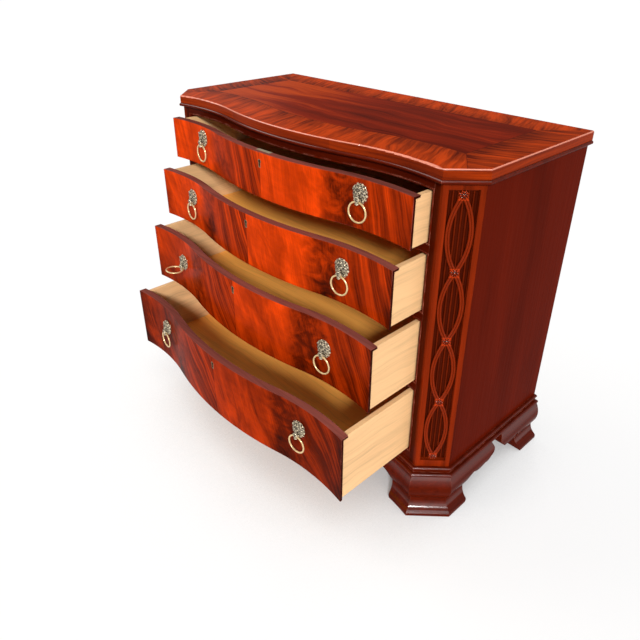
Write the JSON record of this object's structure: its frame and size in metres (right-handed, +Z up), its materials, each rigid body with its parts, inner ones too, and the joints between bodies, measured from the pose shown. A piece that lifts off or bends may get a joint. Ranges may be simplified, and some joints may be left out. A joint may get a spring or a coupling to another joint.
{
  "type": "serpentine chest of drawers",
  "caption": "Serpentine-front mahogany chest with graduated drawers, canted carved corners, lion-mask ring pulls and ogee bracket feet; drawers slide and rings swing.",
  "frame": {"origin": "on the floor under the middle of the bounding box, with the drawers as pulled out in the picture", "axes": "+X to the chest's own left-to-right as seen from the front, +Y from front to back, +Z up; the drawers open towards -Y"},
  "size_m": [1.111, 0.7458, 0.918],
  "materials": {
    "top_veneer": "polished crossbanded mahogany veneer",
    "case_veneer": "polished mahogany veneer",
    "mahogany": "polished mahogany",
    "carved_mahogany": "carved and polished mahogany",
    "front_veneer": "polished figured mahogany veneer",
    "drawer_wood": "clear lacquered pale hardwood",
    "secondary_wood": "unpolished softwood",
    "brass": "antiqued cast brass"
  },
  "bodies": {
    "carcass": {"top_board": "top_veneer", "top_bead": "mahogany", "base_moulding": "mahogany", "side_left": "case_veneer", "side_right": "case_veneer", "corner_post_left": "mahogany", "corner_post_right": "mahogany", "corner_carving_left": "carved_mahogany", "corner_carving_right": "carved_mahogany", "top_rail": "mahogany", "drawer_dividers": "mahogany", "bottom_rail": "mahogany", "cock_beads": "mahogany", "bottom_board": "secondary_wood", "back_panel": "secondary_wood", "drawer_runners": "secondary_wood", "drawer_guides": "secondary_wood", "foot_front_left": "mahogany", "foot_front_right": "mahogany", "foot_rear_left": "mahogany", "foot_rear_right": "mahogany", "foot_blocks": "secondary_wood"},
    "drawer_1": {"drawer_1_front": "front_veneer", "drawer_1_sides": "drawer_wood", "drawer_1_bottom": "drawer_wood", "drawer_1_back": "drawer_wood", "drawer_1_escutcheon": "brass", "drawer_1_masks": "brass", "drawer_1_lock_case": "brass"},
    "drawer_1_ring_left": {"drawer_1_ring_left": "brass"},
    "drawer_1_ring_right": {"drawer_1_ring_right": "brass"},
    "drawer_2": {"drawer_2_front": "front_veneer", "drawer_2_sides": "drawer_wood", "drawer_2_bottom": "drawer_wood", "drawer_2_back": "drawer_wood", "drawer_2_escutcheon": "brass", "drawer_2_masks": "brass"},
    "drawer_2_ring_left": {"drawer_2_ring_left": "brass"},
    "drawer_2_ring_right": {"drawer_2_ring_right": "brass"},
    "drawer_3": {"drawer_3_front": "front_veneer", "drawer_3_sides": "drawer_wood", "drawer_3_bottom": "drawer_wood", "drawer_3_back": "drawer_wood", "drawer_3_escutcheon": "brass", "drawer_3_masks": "brass"},
    "drawer_3_ring_left": {"drawer_3_ring_left": "brass"},
    "drawer_3_ring_right": {"drawer_3_ring_right": "brass"},
    "drawer_4": {"drawer_4_front": "front_veneer", "drawer_4_sides": "drawer_wood", "drawer_4_bottom": "drawer_wood", "drawer_4_back": "drawer_wood", "drawer_4_escutcheon": "brass", "drawer_4_masks": "brass"},
    "drawer_4_ring_left": {"drawer_4_ring_left": "brass"},
    "drawer_4_ring_right": {"drawer_4_ring_right": "brass"},
    "lock_bolt": {"drawer_1_lock_bolt": "brass"}
  },
  "joints": [
    {"name": "drawer_1_slide", "type": "slide", "parent": "carcass", "child": "drawer_1", "axis": [0, -1, 0], "range_m": [-0.059, 0.241]},
    {"name": "drawer_1_ring_left_swing", "type": "hinge", "parent": "drawer_1", "child": "drawer_1_ring_left", "pos_m": [-0.29803, -0.16261, 0.8165], "axis": [-0.9957, 0.0923, 0], "range_deg": [-8, 120]},
    {"name": "drawer_1_ring_right_swing", "type": "hinge", "parent": "drawer_1", "child": "drawer_1_ring_right", "pos_m": [0.29803, -0.16261, 0.8165], "axis": [-0.9957, -0.0923, 0], "range_deg": [-8, 120]},
    {"name": "drawer_2_slide", "type": "slide", "parent": "carcass", "child": "drawer_2", "axis": [0, -1, 0], "range_m": [-0.109, 0.191]},
    {"name": "drawer_2_ring_left_swing", "type": "hinge", "parent": "drawer_2", "child": "drawer_2_ring_left", "pos_m": [-0.29803, -0.21261, 0.6585], "axis": [-0.9957, 0.0923, 0], "range_deg": [-8, 120]},
    {"name": "drawer_2_ring_right_swing", "type": "hinge", "parent": "drawer_2", "child": "drawer_2_ring_right", "pos_m": [0.29803, -0.21261, 0.6585], "axis": [-0.9957, -0.0923, 0], "range_deg": [-8, 120]},
    {"name": "drawer_3_slide", "type": "slide", "parent": "carcass", "child": "drawer_3", "axis": [0, -1, 0], "range_m": [-0.162, 0.138]},
    {"name": "drawer_3_ring_left_swing", "type": "hinge", "parent": "drawer_3", "child": "drawer_3_ring_left", "pos_m": [-0.29803, -0.26561, 0.4715], "axis": [-0.9957, 0.0923, 0], "range_deg": [-103, 25]},
    {"name": "drawer_3_ring_right_swing", "type": "hinge", "parent": "drawer_3", "child": "drawer_3_ring_right", "pos_m": [0.29803, -0.26561, 0.4715], "axis": [-0.9957, -0.0923, 0], "range_deg": [-8, 120]},
    {"name": "drawer_4_slide", "type": "slide", "parent": "carcass", "child": "drawer_4", "axis": [0, -1, 0], "range_m": [-0.242, 0.058]},
    {"name": "drawer_4_ring_left_swing", "type": "hinge", "parent": "drawer_4", "child": "drawer_4_ring_left", "pos_m": [-0.29803, -0.34561, 0.282], "axis": [-0.9957, 0.0923, 0], "range_deg": [-8, 120]},
    {"name": "drawer_4_ring_right_swing", "type": "hinge", "parent": "drawer_4", "child": "drawer_4_ring_right", "pos_m": [0.29803, -0.34561, 0.282], "axis": [-0.9957, -0.0923, 0], "range_deg": [-8, 120]},
    {"name": "lock_bolt_slide", "type": "slide", "parent": "drawer_1", "child": "lock_bolt", "axis": [0, 0, 1], "range_m": [0, 0.008]}
  ]
}
